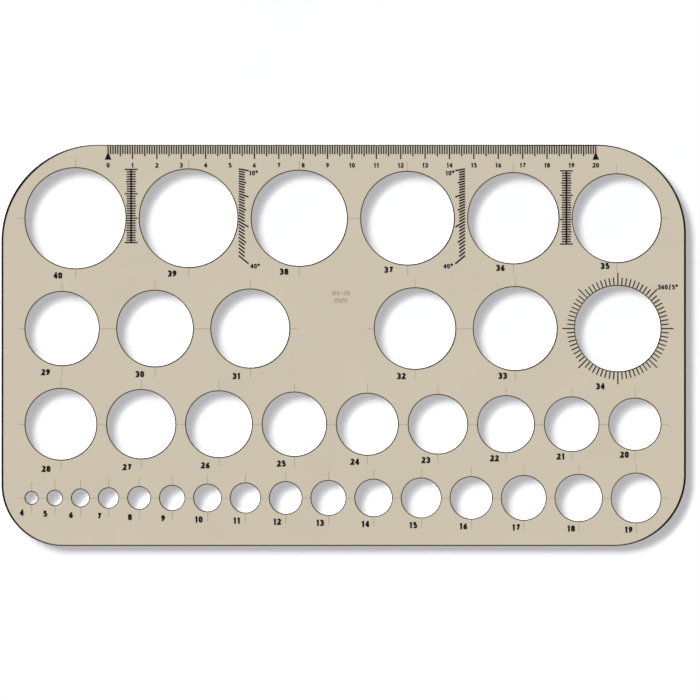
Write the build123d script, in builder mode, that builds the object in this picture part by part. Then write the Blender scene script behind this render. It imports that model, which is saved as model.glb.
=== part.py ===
"""Circle template for technical drawing.

One tinted plastic sheet with 37 round holes, whose sizes run in a serpentine from 4 mm at
the lower left to 40 mm at the upper left. Its upper face is printed: a ruler along the far
edge, two millimetre ladders, two angle ladders, a protractor ring and the size numerals.

Frame: origin under the middle of the sheet, +X along the ruler towards 20, +Y towards the
ruler edge, +Z up out of the printed face.
"""
from build123d import *

import os
from dataclasses import dataclass
from math import cos, radians, sin, tan

# ---------------------------------------------------------------- driving dimensions, mm
PLATE_LENGTH = 280.8
PLATE_WIDTH = 164.7
PLATE_THICKNESS = 1.2
TOP_LEFT_RADIUS = 39.6
TOP_RIGHT_RADIUS = 36.7
BOTTOM_LEFT_RADIUS = 25.2
BOTTOM_RIGHT_RADIUS = 29.5
OUTER_EDGE_BREAK = 0.5  # chamfer round the upper edge of the sheet
EDGE_BREAK = 0.4  # chamfer round the upper edge of every hole

PEN_ALLOWANCE = 1.0  # added to every printed size, so that a pen draws the printed circle
LEFT_MARGIN = 9.85  # from the sheet's edge to the edge of the first hole
RIGHT_MARGIN = 10.5
BOTTOM_MARGIN = 9.75
ROW_WEB = 9.75  # between two rows, measured at the holes where the serpentine turns
SPLIT_ROW_WEB = 7.6  # between neighbours in the row that is split in two groups

INK_THICKNESS = 0.05
INK_EDGE_GAP = 0.05  # keeps the ink clear of a broken edge

RULER_START_X = -96.65
RULER_MILLIMETRES = 200
RULER_TICK_WIDTH = 0.46
RULER_TICK_LENGTHS = (3.9, 4.8, 5.9)  # every 1, 5 and 10 mm
RULER_ARROW_WIDTH = 2.6
RULER_ARROW_HEIGHT = 3.3
RULER_ARROW_FOOT = 6.2  # from the ruler edge to the foot of an arrow
RULER_NUMERAL_DEPTH = 8.5  # from the ruler edge to the middle of the numerals

LADDER_MILLIMETRES = 30
LADDER_TICK_WIDTH = 0.48
LADDER_SPINE_WIDTH = 0.62
LADDER_TICK_LENGTHS = (3.6, 4.2, 5.2)
LEFT_LADDER_DEPTH = 10.2  # from the ruler edge to the first tick
RIGHT_LADDER_DEPTH = 10.8
LEFT_LADDER_SHIFT = -0.6  # from the middle of the web to the spine
RIGHT_LADDER_SHIFT = 0.35

ANGLE_APEX_DEPTH = 0.55  # from the ruler edge to the point where the rays meet
ANGLE_FIRST = 10
ANGLE_LAST = 40
ANGLE_REACH = 53.6  # along X from that point, in line with the arrow, to the near end of a tick
ANGLE_TICK_LENGTHS = (2.4, 3.0, 4.0)  # along X, every 1, 5 and 10 degrees
ANGLE_TICK_WIDTH = 0.57
ANGLE_NUMERAL_GAPS = (2.1, 2.8)  # beyond the far end of the first and the last tick
ANGLE_NUMERAL_DROP = 1.0

RING_SIZE = 34  # the hole that the protractor ring goes round
RING_DIVISIONS = 72
RING_LONG_DIVISIONS = 8
RING_TICK_RADIUS = 20.9
RING_LONG_TICK_RADIUS = 22.8
RING_TICK_WIDTH = 0.42
RING_NUMERAL_OFFSET = (20.6, 17.0)

MARK_LENGTH = 3.6
OUTER_MARK_LENGTH = 2.8  # of the level marks on the free side of the outer holes
MARK_WIDTH = 0.1

SIZE_NUMERAL_HEIGHT = 2.55
SIZE_NUMERAL_STROKE = 0.68
RING_NUMERAL_DROP = 0.9  # from the protractor ring down to the middle of its size numeral
RING_NUMERAL_SHIFT = 7.2
NUMERAL_NUDGES = {37: 2.0}  # further left than its neighbours
FINE_NUMERAL_HEIGHT = 1.9
FINE_NUMERAL_STROKE = 0.43
CHARACTER_WIDTH = 0.62  # in character heights
CHARACTER_GAP = 0.14

LEGEND_PLACE = (-1.25, 20.0)
LEGEND_LINE_PITCH = 3.0

HALF_LENGTH = PLATE_LENGTH / 2
HALF_WIDTH = PLATE_WIDTH / 2
INK_PLANE = Plane.XY.offset(PLATE_THICKNESS)


# ---------------------------------------------------------------- layout of the holes
@dataclass
class Hole:
    """One hole: its printed size and the place of its axis."""

    size: int
    x: float
    y: float

    @property
    def radius(self):
        """Radius of the straight wall."""
        return hole_radius(self.size)

    @property
    def rim(self):
        """Radius where ink may start, just outside the broken edge."""
        return self.radius + EDGE_BREAK + INK_EDGE_GAP


@dataclass
class HoleGroup:
    """Neighbouring holes on one line, from left to right."""

    name: str
    holes: list
    numeral_shifts: tuple  # left of the axis, at the first and at the last hole
    numeral_drops: tuple  # below the hole's edge, at the first and at the last hole
    open_gaps: tuple = ()  # left sizes of the gaps with another scale in them


def hole_radius(size):
    """Radius of a hole from its printed size."""
    return (size + PEN_ALLOWANCE) / 2


def row_line(sizes, start_x, y, web):
    """Holes from left to right, each one web apart from the last."""
    holes = []
    edge = start_x
    for size in sizes:
        radius = hole_radius(size)
        holes.append(Hole(size, edge + radius, y))
        edge += 2 * radius + web
    return holes


def justified_web(sizes):
    """The web that makes a row fill the sheet from margin to margin."""
    width = PLATE_LENGTH - LEFT_MARGIN - RIGHT_MARGIN
    return (width - sum(2 * hole_radius(size) for size in sizes)) / (len(sizes) - 1)


def group_width(sizes, web):
    """Length of a group of holes from edge to edge."""
    return sum(2 * hole_radius(size) for size in sizes) + web * (len(sizes) - 1)


def next_row(y, size):
    """The line above y, where the serpentine turns from this size to the next."""
    return y + hole_radius(size) + ROW_WEB + hole_radius(size + 1)


ROW_4_SIZES = range(4, 20)
ROW_3_SIZES = range(28, 19, -1)
ROW_2_LEFT_SIZES = range(29, 32)
ROW_2_RIGHT_SIZES = range(32, 35)
ROW_1_SIZES = range(40, 34, -1)

ROW_4_Y = -HALF_WIDTH + BOTTOM_MARGIN + hole_radius(19)
ROW_3_Y = next_row(ROW_4_Y, 19)
ROW_2_Y = next_row(ROW_3_Y, 28)
ROW_1_Y = next_row(ROW_2_Y, 34)

ROW_START = -HALF_LENGTH + LEFT_MARGIN
ROW_2_RIGHT_START = HALF_LENGTH - RIGHT_MARGIN - group_width(ROW_2_RIGHT_SIZES, SPLIT_ROW_WEB)

GROUPS = (
    HoleGroup(
        "row_1",
        row_line(ROW_1_SIZES, ROW_START, ROW_1_Y, justified_web(ROW_1_SIZES)),
        numeral_shifts=(7.2, 4.8),
        numeral_drops=(3.0, 1.6),
        open_gaps=(40, 39, 37, 36),
    ),
    HoleGroup(
        "row_2_left",
        row_line(ROW_2_LEFT_SIZES, ROW_START, ROW_2_Y, SPLIT_ROW_WEB),
        numeral_shifts=(6.7, 5.7),
        numeral_drops=(2.9, 3.5),
    ),
    HoleGroup(
        "row_2_right",
        row_line(ROW_2_RIGHT_SIZES, ROW_2_RIGHT_START, ROW_2_Y, SPLIT_ROW_WEB),
        numeral_shifts=(5.6, 4.7),
        numeral_drops=(3.0, 1.8),
        open_gaps=(33,),
    ),
    HoleGroup(
        "row_3",
        row_line(ROW_3_SIZES, ROW_START, ROW_3_Y, justified_web(ROW_3_SIZES)),
        numeral_shifts=(6.0, 4.3),
        numeral_drops=(3.8, 2.0),
    ),
    HoleGroup(
        "row_4",
        row_line(ROW_4_SIZES, ROW_START, ROW_4_Y, justified_web(ROW_4_SIZES)),
        numeral_shifts=(4.0, 3.1),
        numeral_drops=(3.5, 3.0),
    ),
)
ALL_HOLES = {hole.size: hole for group in GROUPS for hole in group.holes}
RING_HOLE = ALL_HOLES[RING_SIZE]


def gap_middle(left_size, right_size):
    """X of the middle of the web between two neighbouring holes."""
    left = ALL_HOLES[left_size]
    right = ALL_HOLES[right_size]
    return (left.x + left.radius + right.x - right.radius) / 2


# ---------------------------------------------------------------- printed characters
class Typeface:
    """Stroke characters of one height, each drawn round its own middle."""

    def __init__(self, height, stroke):
        self.height = height
        self.stroke = stroke
        self.rise = (height - stroke) / 2  # half the height of a stroke's middle line
        self.half = (CHARACTER_WIDTH * height - stroke) / 2  # half its width
        self.advance = (CHARACTER_WIDTH + CHARACTER_GAP) * height
        self.shapes = {}

    def shape(self, character):
        """The sketch of a character, made once and then reused."""
        if character not in self.shapes:
            self.shapes[character] = CHARACTERS[character](self)
        return self.shapes[character]


def ring_shape(face, radius, centre=(0, 0)):
    """A round stroke, added to the sketch that is being built."""
    with Locations(centre):
        Circle(radius + face.stroke / 2)
        Circle(radius - face.stroke / 2, mode=Mode.SUBTRACT)


def stroke_line(face, *points):
    """A straight or bent stroke through the points, added to the sketch that is being built."""
    with BuildLine() as path:
        Polyline(*points)
    trace(path.line, line_width=face.stroke)


def stroke_arc(face, centre, radius, start, sweep):
    """A stroke along part of a circle, added to the sketch that is being built."""
    with BuildLine() as path:
        CenterArc(centre, radius, start, sweep)
    trace(path.line, line_width=face.stroke)


def draw_zero(face):
    with BuildSketch() as glyph:
        SlotOverall(face.height, 2 * face.half + face.stroke, rotation=90)
        SlotOverall(face.height - 2 * face.stroke, 2 * face.half - face.stroke, rotation=90,
                    mode=Mode.SUBTRACT)
    return glyph.sketch


def draw_one(face):
    with BuildSketch() as glyph:
        stem = 0.25 * face.half
        stroke_line(face, (stem, -face.rise - face.stroke / 2), (stem, face.rise + face.stroke / 2))
        stroke_line(face, (stem, face.rise), (-0.7 * face.half, 0.45 * face.rise))
    return glyph.sketch


def draw_two(face):
    with BuildSketch() as glyph:
        bowl = face.half
        middle = face.rise - bowl
        turn = radians(-35)
        foot = (bowl * cos(turn), middle + bowl * sin(turn))
        stroke_arc(face, (0, middle), bowl, 165, -200)
        stroke_line(face, foot, (-face.half, -face.rise), (face.half + face.stroke / 2, -face.rise))
    return glyph.sketch


def draw_three(face):
    with BuildSketch() as glyph:
        bowl = face.rise / 2
        for middle in (-bowl, bowl):
            stroke_arc(face, (0, middle), bowl, 90, -180)
        for y in (-face.rise, face.rise):
            stroke_line(face, (-face.half - face.stroke / 3, y), (0, y))
        stroke_line(face, (-0.6 * face.half, 0), (0, 0))
    return glyph.sketch


def draw_four(face):
    with BuildSketch() as glyph:
        stem = 0.6 * face.half
        bar = -0.45 * face.rise
        toe = -1.2 * face.half
        stroke_line(face, (stem, -face.rise - face.stroke / 2), (stem, face.rise + face.stroke / 2))
        stroke_line(face, (stem, face.rise), (toe, bar))
        stroke_line(face, (toe - face.stroke / 4, bar), (face.half + face.stroke / 2, bar))
    return glyph.sketch


def draw_five(face):
    with BuildSketch() as glyph:
        bowl = 0.6 * face.rise
        neck = -0.65 * face.half
        stroke_line(face, (face.half, face.rise), (neck, face.rise), (neck, 0))
        stroke_arc(face, (0, -face.rise + bowl), bowl, 140, -290)
    return glyph.sketch


def draw_six(face, turn=0):
    with BuildSketch(Plane.XY.rotated((0, 0, turn))) as glyph:
        bowl = face.half
        middle = -face.rise + bowl
        back = 1.05 * (face.rise - middle)
        ring_shape(face, bowl, (0, middle))
        stroke_arc(face, (back - bowl, middle), back, 180, -70)
    return glyph.sketch


def draw_seven(face):
    with BuildSketch() as glyph:
        stroke_line(face, (-face.half, face.rise), (face.half, face.rise), (-0.3 * face.half, -face.rise))
    return glyph.sketch


def draw_eight(face):
    with BuildSketch() as glyph:
        upper = 0.47 * face.rise
        lower = face.rise - upper
        ring_shape(face, upper, (0, face.rise - upper))
        ring_shape(face, lower, (0, -face.rise + lower))
    return glyph.sketch


def draw_nine(face):
    return draw_six(face, turn=180)


def draw_degree(face):
    with BuildSketch() as glyph:
        radius = 0.16 * face.height
        ring_shape(face, radius, (-0.3 * face.half, face.rise - 0.5 * radius))
    return glyph.sketch


def draw_slash(face):
    with BuildSketch() as glyph:
        top = face.rise + face.stroke
        stroke_line(face, (-0.5 * face.half, -top), (0.5 * face.half, top))
    return glyph.sketch


def draw_dash(face):
    with BuildSketch() as glyph:
        Rectangle(2 * face.half, face.stroke)
    return glyph.sketch


def draw_diameter(face):
    with BuildSketch() as glyph:
        radius = 0.75 * face.rise
        reach = 1.05 * face.rise
        ring_shape(face, radius)
        stroke_line(face, (-0.8 * reach, -reach), (0.8 * reach, reach))
    return glyph.sketch


def draw_small_m(face):
    with BuildSketch() as glyph:
        arch = 0.28 * face.height
        floor = -face.rise - face.stroke / 2
        shoulder = 0.1 * face.height
        for stem in (-2 * arch, 0, 2 * arch):
            stroke_line(face, (stem, floor), (stem, shoulder))
        for middle in (-arch, arch):
            stroke_arc(face, (middle, shoulder), arch, 0, 180)
    return glyph.sketch


CHARACTERS = {
    "0": draw_zero,
    "1": draw_one,
    "2": draw_two,
    "3": draw_three,
    "4": draw_four,
    "5": draw_five,
    "6": draw_six,
    "7": draw_seven,
    "8": draw_eight,
    "9": draw_nine,
    "°": draw_degree,
    "/": draw_slash,
    "-": draw_dash,
    "Ø": draw_diameter,
    "m": draw_small_m,
}
ADVANCES = {"1": 0.82, "m": 1.95, "Ø": 1.25}  # in characters, where it isn't one


def character_places(face, text, x, y):
    """Each character of a centred text with the place of its middle."""
    widths = [face.advance * ADVANCES.get(character, 1) for character in text]
    left = x - sum(widths) / 2
    places = []
    for character, width in zip(text, widths):
        places.append((character, (left + width / 2, y)))
        left += width
    return places


def print_texts(face, texts):
    """A film of ink with every text of a list of (text, x, y), centred on its place."""
    places = {}
    for text, x, y in texts:
        for character, place in character_places(face, text, x, y):
            places.setdefault(character, []).append(place)
    shapes = {character: face.shape(character) for character in sorted(places)}
    with BuildPart() as film:
        with BuildSketch(INK_PLANE):
            for character, shape in shapes.items():
                with Locations(*places[character]):
                    add(shape)
        extrude(amount=INK_THICKNESS)
    return film.part


# ---------------------------------------------------------------- the sheet
def make_plate():
    """The sheet with its holes and broken upper edges."""
    corners = (
        (-HALF_LENGTH, HALF_WIDTH, TOP_LEFT_RADIUS),
        (HALF_LENGTH, HALF_WIDTH, TOP_RIGHT_RADIUS),
        (-HALF_LENGTH, -HALF_WIDTH, BOTTOM_LEFT_RADIUS),
        (HALF_LENGTH, -HALF_WIDTH, BOTTOM_RIGHT_RADIUS),
    )
    with BuildPart() as plate:
        with BuildSketch() as outline:
            Rectangle(PLATE_LENGTH, PLATE_WIDTH)
            for x, y, radius in corners:
                fillet(outline.vertices().sort_by_distance((x, y, 0))[0], radius)
            for hole in ALL_HOLES.values():
                with Locations((hole.x, hole.y)):
                    Circle(hole.radius, mode=Mode.SUBTRACT)
        extrude(amount=PLATE_THICKNESS)
        top = plate.faces().sort_by(Axis.Z)[-1]
        outer_edges = top.outer_wire().edges()
        hole_edges = [edge for wire in top.inner_wires() for edge in wire.edges()]
        chamfer(outer_edges, OUTER_EDGE_BREAK)
        chamfer(hole_edges, EDGE_BREAK)
    return plate.part


# ---------------------------------------------------------------- printed scales
def tick_length(lengths, step):
    """Length of a tick from its number: a long one at tens, a middle one at fives."""
    short, middle, long = lengths
    if step % 10 == 0:
        return long
    if step % 5 == 0:
        return middle
    return short


def make_ruler_graduations():
    """Ticks from the far edge inwards, with a filled arrow under the first and the last."""
    edge_y = HALF_WIDTH - OUTER_EDGE_BREAK - INK_EDGE_GAP
    arrow_foot_y = HALF_WIDTH - RULER_ARROW_FOOT
    with BuildPart() as film:
        with BuildSketch(INK_PLANE):
            for length in RULER_TICK_LENGTHS:
                steps = [step for step in range(RULER_MILLIMETRES + 1)
                         if tick_length(RULER_TICK_LENGTHS, step) == length]
                bottom_y = HALF_WIDTH - length
                with Locations(*[(RULER_START_X + step, (edge_y + bottom_y) / 2) for step in steps]):
                    Rectangle(RULER_TICK_WIDTH, edge_y - bottom_y)
            with Locations((RULER_START_X, arrow_foot_y),
                           (RULER_START_X + RULER_MILLIMETRES, arrow_foot_y)):
                Triangle(a=RULER_ARROW_WIDTH, b=arrow_side(), c=arrow_side(),
                         align=(Align.CENTER, Align.MIN))
        extrude(amount=INK_THICKNESS)
    return film.part


def arrow_side():
    """Length of an arrow's two equal sides."""
    return ((RULER_ARROW_WIDTH / 2) ** 2 + RULER_ARROW_HEIGHT ** 2) ** 0.5


def make_ruler_numerals():
    """Centimetre numbers below the ruler's long ticks."""
    y = HALF_WIDTH - RULER_NUMERAL_DEPTH
    texts = [(str(number), RULER_START_X + 10 * number, y)
             for number in range(RULER_MILLIMETRES // 10 + 1)]
    return print_texts(FINE_FACE, texts)


def make_millimetre_ladder(left_size, right_size, depth, shift):
    """A vertical spine crossed by a tick at every millimetre, between two holes.

    A tick that would run over a hole's broken edge stops short of it.
    """
    x = gap_middle(left_size, right_size) + shift
    top_y = HALF_WIDTH - depth
    with BuildPart() as film:
        with BuildSketch(INK_PLANE):
            with Locations((x, top_y - LADDER_MILLIMETRES / 2)):
                Rectangle(LADDER_SPINE_WIDTH, LADDER_MILLIMETRES)
            for length in LADDER_TICK_LENGTHS:
                steps = [step for step in range(LADDER_MILLIMETRES + 1)
                         if tick_length(LADDER_TICK_LENGTHS, step) == length]
                with Locations(*[(x, top_y - step) for step in steps]):
                    Rectangle(length, LADDER_TICK_WIDTH)
            for size in (left_size, right_size):
                hole = ALL_HOLES[size]
                with Locations((hole.x, hole.y)):
                    Circle(hole.rim, mode=Mode.SUBTRACT)
        extrude(amount=INK_THICKNESS)
    return film.part


def make_angle_ladder(apex_x, side):
    """Pieces of the rays that meet at the ruler's end tick, one for each degree.

    The side is +1 for rays that run towards +X and -1 for the mirrored scale.
    """
    with BuildPart() as film:
        with BuildSketch(INK_PLANE):
            for degrees in range(ANGLE_FIRST, ANGLE_LAST + 1):
                run = tick_length(ANGLE_TICK_LENGTHS, degrees)
                slope = radians(degrees)
                reach = ANGLE_REACH + run / 2
                place = (apex_x + side * reach, HALF_WIDTH - ANGLE_APEX_DEPTH - reach * tan(slope))
                with Locations(Location(place, -side * degrees)):
                    Rectangle(run / cos(slope), ANGLE_TICK_WIDTH)
        extrude(amount=INK_THICKNESS)
    return film.part


def angle_numeral_place(apex_x, side, degrees, gap):
    """Middle of the number at the far end of a long tick."""
    reach = ANGLE_REACH + ANGLE_TICK_LENGTHS[-1]
    drop = ANGLE_APEX_DEPTH + reach * tan(radians(degrees)) + ANGLE_NUMERAL_DROP
    return apex_x + side * (reach + gap), HALF_WIDTH - drop


def make_angle_ladder_numerals():
    """Numbers at the first and the last degree of both angle ladders."""
    texts = []
    for apex_x, side in ANGLE_LADDERS:
        for degrees, gap in zip((ANGLE_FIRST, ANGLE_LAST), ANGLE_NUMERAL_GAPS):
            x, y = angle_numeral_place(apex_x, side, degrees, gap)
            texts.append((f"{degrees}°", x, y))
    return print_texts(FINE_FACE, texts)


def make_protractor_ring():
    """Radial ticks round one hole, longer at every eighth of a turn."""
    inner = RING_HOLE.rim
    with BuildPart() as film:
        with BuildSketch(INK_PLANE.shift_origin((RING_HOLE.x, RING_HOLE.y, PLATE_THICKNESS))):
            for outer, count in ((RING_TICK_RADIUS, RING_DIVISIONS),
                                 (RING_LONG_TICK_RADIUS, RING_LONG_DIVISIONS)):
                with PolarLocations((inner + outer) / 2, count):
                    Rectangle(outer - inner, RING_TICK_WIDTH)
        extrude(amount=INK_THICKNESS)
    return film.part


def make_protractor_numerals():
    """The ring's label: a full turn over the step of its ticks."""
    step = 360 // RING_DIVISIONS
    x = RING_HOLE.x + RING_NUMERAL_OFFSET[0]
    y = RING_HOLE.y + RING_NUMERAL_OFFSET[1]
    return print_texts(FINE_FACE, [(f"360/{step}°", x, y)])


# ---------------------------------------------------------------- marks at the holes
def make_size_numerals(group):
    """The printed size of every hole of a group, below it and a little to the left."""
    texts = []
    last = len(group.holes) - 1
    for index, hole in enumerate(group.holes):
        shift = along(group.numeral_shifts, index / last) + NUMERAL_NUDGES.get(hole.size, 0)
        drop = along(group.numeral_drops, index / last) + hole.radius
        if hole.size == RING_SIZE:
            shift = RING_NUMERAL_SHIFT
            drop = RING_LONG_TICK_RADIUS + RING_NUMERAL_DROP
        texts.append((str(hole.size), hole.x - shift, hole.y - drop))
    return print_texts(BOLD_FACE, texts)


def along(ends, fraction):
    """A value that runs evenly from the first end to the second."""
    return ends[0] + fraction * (ends[1] - ends[0])


def level_marks(group):
    """Left and right ends of the group's horizontal centre marks.

    One mark joins two neighbours, and the outer holes have a short mark on their free side.
    """
    marks = []
    first = group.holes[0]
    last = group.holes[-1]
    marks.append((first.x - first.rim - OUTER_MARK_LENGTH, first.x - first.rim))
    if last.size != RING_SIZE:
        marks.append((last.x + last.rim, last.x + last.rim + OUTER_MARK_LENGTH))
    for left, right in zip(group.holes, group.holes[1:]):
        if left.size not in group.open_gaps:
            marks.append((left.x + left.rim, right.x - right.rim))
    return marks


def make_centre_marks(group):
    """Thin lines that point at the axis of every hole of a group."""
    y = group.holes[0].y
    with BuildPart() as film:
        with BuildSketch(INK_PLANE):
            for left, right in level_marks(group):
                with Locations(((left + right) / 2, y)):
                    Rectangle(right - left, MARK_WIDTH)
            for hole in group.holes:
                if hole.size == RING_SIZE:
                    continue
                reach = hole.rim + MARK_LENGTH / 2
                with Locations((hole.x, y - reach), (hole.x, y + reach)):
                    Rectangle(MARK_WIDTH, MARK_LENGTH)
        extrude(amount=INK_THICKNESS)
    return film.part


def make_legend():
    """A plain note of the range of sizes and their unit."""
    x, y = LEGEND_PLACE
    low = min(ALL_HOLES)
    high = max(ALL_HOLES)
    return print_texts(FINE_FACE, [
        (f"Ø{low}-{high}", x, y + LEGEND_LINE_PITCH / 2),
        ("mm", x, y - LEGEND_LINE_PITCH / 2),
    ])


# ---------------------------------------------------------------- build and export
FINE_FACE = Typeface(FINE_NUMERAL_HEIGHT, FINE_NUMERAL_STROKE)
BOLD_FACE = Typeface(SIZE_NUMERAL_HEIGHT, SIZE_NUMERAL_STROKE)
ANGLE_LADDERS = ((RULER_START_X, 1), (RULER_START_X + RULER_MILLIMETRES, -1))


def export(part, name):
    """Label a part and write it under its name."""
    part.label = name
    export_step(part, f"parts/{name}.step")


def main():
    os.makedirs("parts", exist_ok=True)
    export(make_plate(), "template_plate")
    export(make_ruler_graduations(), "ruler_graduations")
    export(make_ruler_numerals(), "ruler_numerals")
    left_ladder = make_millimetre_ladder(40, 39, LEFT_LADDER_DEPTH, LEFT_LADDER_SHIFT)
    right_ladder = make_millimetre_ladder(36, 35, RIGHT_LADDER_DEPTH, RIGHT_LADDER_SHIFT)
    export(left_ladder, "left_millimetre_ladder")
    export(right_ladder, "right_millimetre_ladder")
    export(make_angle_ladder(*ANGLE_LADDERS[0]), "left_angle_ladder")
    export(make_angle_ladder(*ANGLE_LADDERS[1]), "right_angle_ladder")
    export(make_angle_ladder_numerals(), "angle_ladder_numerals")
    export(make_protractor_ring(), "protractor_ring")
    export(make_protractor_numerals(), "protractor_numerals")
    for group in GROUPS:
        export(make_size_numerals(group), f"{group.name}_size_numerals")
        export(make_centre_marks(group), f"{group.name}_centre_marks")
    export(make_legend(), "generic_legend")


main()
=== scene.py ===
"""Looks of the circle template: tinted plastic, print, studio floor, lights and camera."""

import math

import bmesh
import bpy
import numpy as np
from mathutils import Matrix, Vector
from mathutils.geometry import delaunay_2d_cdt


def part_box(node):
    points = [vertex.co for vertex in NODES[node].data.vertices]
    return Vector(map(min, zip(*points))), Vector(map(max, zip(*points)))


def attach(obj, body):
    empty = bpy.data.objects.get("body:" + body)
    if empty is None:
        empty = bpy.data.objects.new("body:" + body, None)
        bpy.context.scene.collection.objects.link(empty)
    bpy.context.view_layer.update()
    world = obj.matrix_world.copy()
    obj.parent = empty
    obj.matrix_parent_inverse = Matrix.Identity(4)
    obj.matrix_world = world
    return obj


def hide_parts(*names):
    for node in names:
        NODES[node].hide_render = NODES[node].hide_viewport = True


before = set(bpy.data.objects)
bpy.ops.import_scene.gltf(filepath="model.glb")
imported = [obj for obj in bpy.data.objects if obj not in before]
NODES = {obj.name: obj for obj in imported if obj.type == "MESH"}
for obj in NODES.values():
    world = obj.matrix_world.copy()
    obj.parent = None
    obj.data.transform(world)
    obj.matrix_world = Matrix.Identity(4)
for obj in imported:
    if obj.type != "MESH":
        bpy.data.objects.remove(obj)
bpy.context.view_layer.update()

PLATE = "template_plate"
MM = 0.001

# Outline and edges of the sheet. Its size, its corner radii and its holes are the CAD node's.
CORNER_RADII_MM = {"top_left": 39.6, "top_right": 36.7, "bottom_left": 25.2, "bottom_right": 29.5}
OUTER_EDGE_BREAK = (0.86 * MM, 0.55 * MM)  # width in plan at the two ends and on the long edges; the nearly level band carries the painted shade of the outer edge line
OUTER_EDGE_DROP = 0.15 * MM
# How much wider the outer edge break gets at the middle of each corner, and with it the painted
# shade line
CORNER_BULGES_MM = {"top_left": 0.30, "top_right": 0.0, "bottom_left": 0.05, "bottom_right": 0.1}
HOLE_EDGE_BREAK = 0.4 * MM  # its width and its depth
LIT_EDGE_EXTRA = 0.18 * MM  # more of it on the side of a large hole that faces the key light, for a wider painted shade line there
SMALL_HOLE_RADIUS = 8 * MM  # from here on the extra grows, to all of it at twice this radius
HOLE_STEPS = 144
CORNER_STEPS = 48
SHARP_ANGLE = math.radians(30)  # an edge between faces that turn by more than this stays sharp

# Finding the holes in the CAD node
WELD_DISTANCE = 1e-6
FACES_DOWN = -0.9  # a face whose normal's Z is below this is the underside
UPRIGHT = 0.1  # a face whose normal's Z is nearer to 0 than this is a wall

# Cutting the flat faces into triangles
TRIANGLES_INSIDE = 1  # the kind of output of delaunay_2d_cdt
CUT_TOLERANCE = 1e-6

# Material slots of the sheet
SLOT_FACE, SLOT_HOLE_EDGE, SLOT_OUTER_EDGE, SLOT_WALL = range(4)

# Colours, linear. A pair is the darker and the lighter end of a material's variation.
PLASTIC_COLOURS = (0.521, 0.463, 0.353), (0.541, 0.481, 0.368)
# Walls are painted lighter than the plastic: painted light for the light that crosses the sheet
WALL_PAINTED_LIGHT_COLOURS = (0.82, 0.77, 0.68), (0.86, 0.81, 0.72)
FLOOR_COLOURS = (0.86, 0.86, 0.86), (0.88, 0.88, 0.88)
BLACK_INK_COLOURS = (0.0010, 0.0010, 0.0010), (0.0030, 0.0028, 0.0026)
GREY_INK_COLOURS = (0.37, 0.32, 0.25), (0.45, 0.39, 0.305)
# Painted shade of the hole edges' dark line, from its lightest to its darkest
HOLE_EDGE_PAINTED_SHADE_STOPS = [
    (0.0, (0.16, 0.135, 0.110)),
    (0.5, (0.060, 0.050, 0.043)),
    (1.0, (0.008, 0.007, 0.006)),
]
# Painted shade of the outer edge's dark line, from its lightest to its darkest
OUTER_EDGE_PAINTED_SHADE_STOPS = [
    (0.0, (0.13, 0.110, 0.092)),
    (0.45, (0.035, 0.030, 0.026)),
    (0.9, (0.0020, 0.0018, 0.0016)),
]
PLASTIC_IOR = 1.49
# Painted light: the walls glow, though they are no lamp
WALL_PAINTED_GLOW = 0.16

# How the painted shade of the two edges follows the way an edge faces
OUTWARD_SWING = 2.5  # per metre from the middle of the sheet
OUTWARD_MIDDLE = 0.45  # where an edge faces neither way
LIT_SIDE_PAINTED_SHADE = 0.55  # painted shade added where an edge faces the key light
SIDEWAYS_SWING = 2.0
EDGE_GRAIN = 0.12  # how far the noise moves either colour
STRAIGHT_SHARPNESS = 60.0  # keeps the painted dark reflection on the ruler edge off the corner
RULER_END_PAINTED_REFLECTION = (0.060, 0.090)  # X where the ruler edge turns from light to a painted dark reflection

# Camera, floor and light
KEY_TURN = -41  # degrees about Z
# The level direction towards the key light
LIT_SIDE = (-math.cos(math.radians(KEY_TURN)), -math.sin(math.radians(KEY_TURN)), 0.0)
KEY_TURNS = (-13, 0, 13)  # each level of the stack is three suns, turned from the middle
KEY_STACK = (  # name, elevation and spread in degrees, light on a level floor
    ("key_high", 21.0, 5.0, 0.23),
    ("key_middle", 15.8, 4.0, 0.42),
    ("key_low", 13.1, 3.0, 0.58),
    ("key_lowest", 11.6, 2.5, 0.70),
)
SKY_COLOUR = (0.965, 0.97, 1.01, 1)
SKY_STRENGTH = 0.55
FLOOR_SIZE = 6
CAMERA_HEIGHT = 0.80
VIEW_WIDTH = 0.2875
VIEW_CENTRE = (0.00259, -0.00194)
LENS = 90.0

# Directions for vector arithmetic
LEVEL_PART = (1, 1, 0)
ALONG_X = (1, 0, 0)
ALONG_Y = (0, 1, 0)


# ---------------------------------------------------------------- node material helpers
def new_material(name):
    """A node material with only a Principled shader wired to its output."""
    material = bpy.data.materials.new(name)
    material.use_nodes = True
    tree = material.node_tree
    return material, tree, tree.nodes["Principled BSDF"]


def add_noise(tree, scale, detail):
    """A noise texture in object space."""
    where = tree.nodes.new("ShaderNodeTexCoord")
    noise = tree.nodes.new("ShaderNodeTexNoise")
    noise.inputs["Scale"].default_value = scale
    noise.inputs["Detail"].default_value = detail
    tree.links.new(where.outputs["Object"], noise.inputs["Vector"])
    return noise.outputs["Fac"]


def add_range(tree, value, low, high, given=(0.0, 1.0)):
    """Maps a value that runs over the given range onto low to high."""
    node = tree.nodes.new("ShaderNodeMapRange")
    node.inputs["From Min"].default_value = given[0]
    node.inputs["From Max"].default_value = given[1]
    node.inputs["To Min"].default_value = low
    node.inputs["To Max"].default_value = high
    tree.links.new(value, node.inputs["Value"])
    return node.outputs["Result"]


def add_ramp(tree, value, stops):
    """Colours along a 0 to 1 value, from stops in order of their places."""
    node = tree.nodes.new("ShaderNodeValToRGB")
    ramp = node.color_ramp
    for index, (place, colour) in enumerate(stops):
        stop = ramp.elements[index] if index < 2 else ramp.elements.new(place)
        stop.position = place
        stop.color = (*colour, 1)
    tree.links.new(value, node.inputs["Fac"])
    return node.outputs["Color"]


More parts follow.
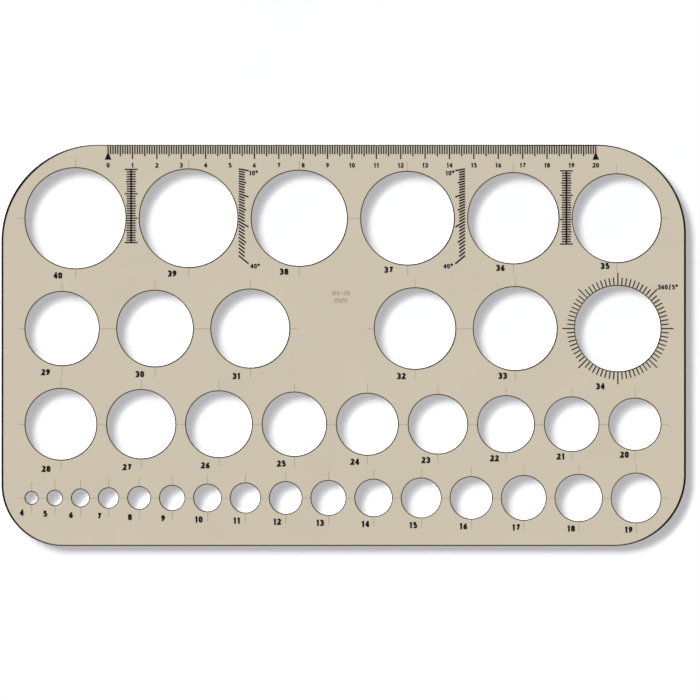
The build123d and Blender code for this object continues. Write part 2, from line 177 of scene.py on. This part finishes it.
def add_clouds(tree, scale, detail, colours, places=(0.3, 0.7)):
    """A noise between two colours."""
    return add_ramp(tree, add_noise(tree, scale, detail), list(zip(places, colours)))


def add_bump(tree, value, strength, distance):
    """A bump from a height value."""
    node = tree.nodes.new("ShaderNodeBump")
    node.inputs["Strength"].default_value = strength
    node.inputs["Distance"].default_value = distance
    tree.links.new(value, node.inputs["Height"])
    return node.outputs["Normal"]


def add_math(tree, operation, first, second):
    """Arithmetic on a value and a value or number."""
    node = tree.nodes.new("ShaderNodeMath")
    node.operation = operation
    tree.links.new(first, node.inputs[0])
    if isinstance(second, (int, float)):
        node.inputs[1].default_value = second
    else:
        tree.links.new(second, node.inputs[1])
    return node.outputs["Value"]


def add_vector_math(tree, operation, first, second=(0, 0, 0)):
    """Vector arithmetic on an output and, where it takes two, an output or three numbers."""
    node = tree.nodes.new("ShaderNodeVectorMath")
    node.operation = operation
    tree.links.new(first, node.inputs[0])
    if isinstance(second, tuple):
        node.inputs[1].default_value = second
    else:
        tree.links.new(second, node.inputs[1])
    return node


def set_roughness(tree, shader, scale, detail, low, high):
    """Roughness that varies with a noise."""
    rough = add_range(tree, add_noise(tree, scale, detail), low, high)
    tree.links.new(rough, shader.inputs["Roughness"])


# ---------------------------------------------------------------- materials
def plastic_material():
    """Smoke-tan plastic of the sheet's faces."""
    material, tree, shader = new_material("smoke_tan_plastic")
    colour = add_clouds(tree, scale=30, detail=3, colours=PLASTIC_COLOURS)
    tree.links.new(colour, shader.inputs["Base Color"])
    set_roughness(tree, shader, scale=160, detail=4, low=0.30, high=0.42)
    shader.inputs["IOR"].default_value = PLASTIC_IOR
    normal = add_bump(tree, add_noise(tree, scale=900, detail=2), strength=0.06, distance=0.0002)
    tree.links.new(normal, shader.inputs["Normal"])
    return material


def painted_hole_edge_shade(tree):
    """Painted shade of a hole's edge, higher and so darker where the edge faces away
    from the middle of the sheet, and more so further out.

    An edge that faces the key light gets a higher value too, so that its painted shade stays
    dark in the light.
    """
    where = tree.nodes.new("ShaderNodeTexCoord")
    flat = add_vector_math(tree, "MULTIPLY", where.outputs["Object"], LEVEL_PART).outputs["Vector"]
    along = add_vector_math(tree, "DOT_PRODUCT", flat, where.outputs["Normal"]).outputs["Value"]
    # Painted shade: darker where the edge faces the key light
    lit = add_vector_math(tree, "DOT_PRODUCT", where.outputs["Normal"], LIT_SIDE).outputs["Value"]
    lit_side_shade = add_math(tree, "MULTIPLY", add_math(tree, "MAXIMUM", lit, 0.0), LIT_SIDE_PAINTED_SHADE)
    shade_swing = add_math(tree, "MULTIPLY", along, OUTWARD_SWING)
    return add_math(tree, "ADD", add_math(tree, "ADD", shade_swing, OUTWARD_MIDDLE), lit_side_shade)


def painted_outer_edge_shade(tree):
    """Painted shade of the outer edge: rises as an edge turns to face along X, and towards
    the right end of the ruler edge, where it is a painted dark reflection.
    """
    where = tree.nodes.new("ShaderNodeTexCoord")
    flat = add_vector_math(tree, "MULTIPLY", where.outputs["Normal"], LEVEL_PART).outputs["Vector"]
    heading = add_vector_math(tree, "NORMALIZE", flat).outputs["Vector"]
    part = add_vector_math(tree, "DOT_PRODUCT", heading, ALONG_X).outputs["Value"]
    turned = add_math(tree, "MULTIPLY", add_math(tree, "MULTIPLY", part, part), SIDEWAYS_SWING)
    # A painted dark reflection along the right end of the ruler edge
    split = tree.nodes.new("ShaderNodeSeparateXYZ")
    tree.links.new(where.outputs["Object"], split.inputs["Vector"])
    reflection_end = add_range(tree, split.outputs["X"], 0.0, 1.0, RULER_END_PAINTED_REFLECTION)
    far = add_vector_math(tree, "DOT_PRODUCT", heading, ALONG_Y).outputs["Value"]
    straight = add_math(tree, "POWER", add_math(tree, "MAXIMUM", far, 0.0), STRAIGHT_SHARPNESS)
    return add_math(tree, "ADD", turned, add_math(tree, "MULTIPLY", reflection_end, straight))


def painted_shade_edge_material(name, shade_swing, stops):
    """Broken edge of the same plastic: a dark line of painted shade whose colour follows the way
    the edge faces.
    """
    material, tree, shader = new_material(name)
    grain = add_range(tree, add_noise(tree, scale=700, detail=3), -EDGE_GRAIN, EDGE_GRAIN)
    colour = add_ramp(tree, add_math(tree, "ADD", shade_swing(tree), grain), stops)
    tree.links.new(colour, shader.inputs["Base Color"])
    set_roughness(tree, shader, scale=400, detail=3, low=0.4, high=0.55)
    shader.inputs["IOR"].default_value = PLASTIC_IOR
    shader.inputs["Specular IOR Level"].default_value = 0.2
    # The edge is shaded as if it were level, so only its colour, the painted shade, changes along
    # it.
    level = tree.nodes.new("ShaderNodeCombineXYZ")
    level.inputs["Z"].default_value = 1
    tree.links.new(level.outputs["Vector"], shader.inputs["Normal"])
    return material


def painted_glow_wall_material():
    """Upright faces, painted lighter than the plastic and given a glow: painted light for the
    light that crosses the sheet and comes out there.
    """
    material, tree, shader = new_material("wall")
    colour = add_clouds(tree, scale=220, detail=3, colours=WALL_PAINTED_LIGHT_COLOURS)
    tree.links.new(colour, shader.inputs["Base Color"])
    set_roughness(tree, shader, scale=400, detail=3, low=0.35, high=0.5)
    shader.inputs["IOR"].default_value = PLASTIC_IOR
    tree.links.new(colour, shader.inputs["Emission Color"])
    shader.inputs["Emission Strength"].default_value = WALL_PAINTED_GLOW
    return material


def ink_material(name, colours):
    """Screen-printed ink with a little wear."""
    material, tree, shader = new_material(name)
    colour = add_clouds(tree, scale=1500, detail=4, colours=colours, places=(0.35, 0.75))
    tree.links.new(colour, shader.inputs["Base Color"])
    set_roughness(tree, shader, scale=800, detail=2, low=0.6, high=0.8)
    shader.inputs["Specular IOR Level"].default_value = 0.12
    return material


# ---------------------------------------------------------------- the sheet
def underside_rims(work):
    """The edges where the underside meets a wall."""
    rims = []
    for edge in work.edges:
        tilts = [round(face.normal.z, 2) for face in edge.link_faces]
        if len(tilts) == 2 and min(tilts) < FACES_DOWN and min(map(abs, tilts)) < UPRIGHT:
            rims.append(edge)
    return rims


def joined_groups(links):
    """Groups of indices that are linked to each other."""
    seen = set()
    groups = []
    for start in sorted(links):
        waiting = [start]
        group = []
        while waiting:
            index = waiting.pop()
            if index not in seen:
                seen.add(index)
                group.append(index)
                waiting.extend(links[index])
        if group:
            groups.append(group)
    return groups


def hole_loops(node):
    """Centre and wall radius of every round hole, read from the rims on the node's underside."""
    work = bmesh.new()
    work.from_mesh(node.data)
    bmesh.ops.remove_doubles(work, verts=work.verts, dist=WELD_DISTANCE)
    links = {}
    for edge in underside_rims(work):
        first, second = edge.verts
        links.setdefault(first.index, []).append(second.index)
        links.setdefault(second.index, []).append(first.index)
    places = {vert.index: (vert.co.x, vert.co.y) for vert in work.verts}
    work.free()
    loops = []
    for group in joined_groups(links):
        points = np.array([places[index] for index in group])
        low, high = points.min(0), points.max(0)
        loops.append(((low + high) / 2, (high - low) / 2))
    # The widest loop is the outline of the sheet.
    loops.sort(key=lambda item: -item[1][0])
    return [(centre, float(size.mean())) for centre, size in loops[1:]]


def outline_points(low, high, inset, bulged):
    """The sheet's outline, anticlockwise from the right end of its lower edge.

    It is moved in by one length along X and another along Y, and by a little more at the
    corners if it is bulged.
    """
    corners = (
        ("bottom_right", high.x, low.y, -1, 1, -90),
        ("top_right", high.x, high.y, -1, -1, 0),
        ("top_left", low.x, high.y, 1, -1, 90),
        ("bottom_left", low.x, low.y, 1, 1, 180),
    )
    points = []
    for name, x, y, inward_x, inward_y, start in corners:
        radius = CORNER_RADII_MM[name] * MM
        centre_x = x + inward_x * radius
        centre_y = y + inward_y * radius
        for step in range(CORNER_STEPS + 1):
            angle = math.radians(start + 90 * step / CORNER_STEPS)
            bulge = CORNER_BULGES_MM[name] * MM * math.sin(2 * angle) ** 2 if bulged else 0
            points.append((centre_x + (radius - inset[0] - bulge) * math.cos(angle),
                           centre_y + (radius - inset[1] - bulge) * math.sin(angle)))
    return points


def circle_points(centre, radius):
    """A closed circle of points."""
    return [(centre[0] + radius * math.cos(2 * math.pi * step / HOLE_STEPS),
             centre[1] + radius * math.sin(2 * math.pi * step / HOLE_STEPS))
            for step in range(HOLE_STEPS)]


def rim_points(centre, radius):
    """The upper ring of a hole's broken edge, reaching further out on the side that faces the key
    light for a wider painted shade line.
    """
    extra = LIT_EDGE_EXTRA * min(max(radius / SMALL_HOLE_RADIUS - 1, 0), 1)
    points = []
    for x, y in circle_points((0, 0), 1):
        facing = max(0, -x * LIT_SIDE[0] - y * LIT_SIDE[1])
        reach = radius + HOLE_EDGE_BREAK + extra * facing
        points.append((centre[0] + reach * x, centre[1] + reach * y))
    return points


def add_loop(work, points, z):
    """A ring of vertices at one height."""
    return [work.verts.new((x, y, z)) for x, y in points]


def add_band(work, below, above, slot, reverse):
    """Faces between two rings of the same length."""
    count = len(below)
    for index in range(count):
        after = (index + 1) % count
        corners = [below[index], below[after], above[after], above[index]]
        face = work.faces.new(corners[::-1] if reverse else corners)
        face.material_index = slot
        face.smooth = True


def add_cap(work, rings, facing_up):
    """A flat face in triangles. The first ring is the outline and the others are round holes."""
    verts = [vert for ring in rings for vert in ring]
    owners = [number for number, ring in enumerate(rings) for vert in ring]
    edges = []
    for ring in rings:
        first = len(edges)
        edges += [(first + step, first + (step + 1) % len(ring)) for step in range(len(ring))]
    places = [Vector(vert.co.xy) / MM for vert in verts]
    cut = delaunay_2d_cdt(places, edges, [], TRIANGLES_INSIDE, CUT_TOLERANCE)
    triangles, sources = cut[2], cut[3]
    for corners in triangles:
        picked = [sources[index][0] for index in corners]
        touched = {owners[index] for index in picked}
        # Three corners on one round hole: the triangle lies inside that hole.
        if len(touched) == 1 and 0 not in touched:
            continue
        a, b, c = (verts[index] for index in picked)
        upward = (b.co - a.co).cross(c.co - a.co).z > 0
        face = work.faces.new((a, b, c) if upward == facing_up else (a, c, b))
        face.material_index = SLOT_FACE


def outline_levels(low, high):
    """Rings of the sheet's outside from its foot up, each with the slot of the band below it."""
    upright = outline_points(low, high, (0, 0), False)
    return [(upright, low.z, SLOT_WALL),
            (upright, high.z - OUTER_EDGE_DROP, SLOT_WALL),
            (outline_points(low, high, OUTER_EDGE_BREAK, True), high.z, SLOT_OUTER_EDGE)]


def hole_levels(low, high, centre, radius):
    """Rings of a hole from its foot up, each with the slot of the band below it."""
    upright = circle_points(centre, radius)
    return [(upright, low.z, SLOT_WALL),
            (upright, high.z - HOLE_EDGE_BREAK, SLOT_WALL),
            (rim_points(centre, radius), high.z, SLOT_HOLE_EDGE)]


def make_sheet():
    """The sheet with smooth round walls, in the exact place and size of its CAD node."""
    low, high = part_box(PLATE)
    work = bmesh.new()
    contours = [(outline_levels(low, high), False)]
    contours += [(hole_levels(low, high, *hole), True) for hole in hole_loops(NODES[PLATE])]
    feet = []
    rims = []
    for levels, is_hole in contours:
        rings = [add_loop(work, points, z) for points, z, slot in levels]
        for below, above, (points, z, slot) in zip(rings, rings[1:], levels[1:]):
            add_band(work, below, above, slot, is_hole)
        feet.append(rings[0])
        rims.append(rings[-1])
    add_cap(work, rims, True)
    add_cap(work, feet, False)
    for edge in work.edges:
        if edge.calc_face_angle(0) > SHARP_ANGLE:
            edge.smooth = False
    mesh = bpy.data.meshes.new("sheet")
    work.to_mesh(mesh)
    work.free()
    mesh.materials.append(plastic_material())
    mesh.materials.append(painted_shade_edge_material("hole_edge", painted_hole_edge_shade, HOLE_EDGE_PAINTED_SHADE_STOPS))
    mesh.materials.append(painted_shade_edge_material("outer_edge", painted_outer_edge_shade, OUTER_EDGE_PAINTED_SHADE_STOPS))
    mesh.materials.append(painted_glow_wall_material())
    sheet = bpy.data.objects.new("sheet", mesh)
    bpy.context.scene.collection.objects.link(sheet)
    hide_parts(PLATE)
    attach(sheet, "root")


def dress_ink():
    """Gives every printed node its ink."""
    black = ink_material("black_ink", BLACK_INK_COLOURS)
    grey = ink_material("grey_ink", GREY_INK_COLOURS)
    for name, node in NODES.items():
        if name == PLATE:
            continue
        faint = name.endswith("centre_marks") or name == "generic_legend"
        node.data.materials.clear()
        node.data.materials.append(grey if faint else black)


# ---------------------------------------------------------------- studio
def make_floor():
    """A plain pale floor under the sheet."""
    material, tree, shader = new_material("pale_floor")
    colour = add_clouds(tree, scale=4, detail=3, colours=FLOOR_COLOURS)
    tree.links.new(colour, shader.inputs["Base Color"])
    shader.inputs["Roughness"].default_value = 0.9
    bpy.ops.mesh.primitive_plane_add(size=FLOOR_SIZE, location=(0, 0, 0))
    floor = bpy.context.object
    floor.name = "floor"
    floor.data.materials.append(material)


def make_lights():
    """A soft key from the upper left, as a stack of levels of suns, and an even sky."""
    for name, elevation, spread, light in KEY_STACK:
        for turn in KEY_TURNS:
            sun = bpy.data.lights.new(name, "SUN")
            sun.energy = light / math.sin(math.radians(elevation)) / len(KEY_TURNS)
            sun.angle = math.radians(spread)
            key = bpy.data.objects.new(name, sun)
            key.rotation_euler = (0, math.radians(elevation - 90), math.radians(KEY_TURN + turn))
            bpy.context.scene.collection.objects.link(key)
    world = bpy.data.worlds.new("studio")
    world.use_nodes = True
    sky = world.node_tree.nodes["Background"]
    sky.inputs["Color"].default_value = SKY_COLOUR
    sky.inputs["Strength"].default_value = SKY_STRENGTH
    bpy.context.scene.world = world


def make_camera():
    """Straight down on the sheet."""
    camera = bpy.data.cameras.new("camera")
    camera.lens = LENS
    camera.sensor_width = LENS * VIEW_WIDTH / CAMERA_HEIGHT
    holder = bpy.data.objects.new("camera", camera)
    holder.location = (*VIEW_CENTRE, CAMERA_HEIGHT)
    bpy.context.scene.collection.objects.link(holder)
    bpy.context.scene.camera = holder


make_sheet()
dress_ink()
make_floor()
make_lights()
make_camera()
bpy.context.scene.view_settings.view_transform = "Standard"
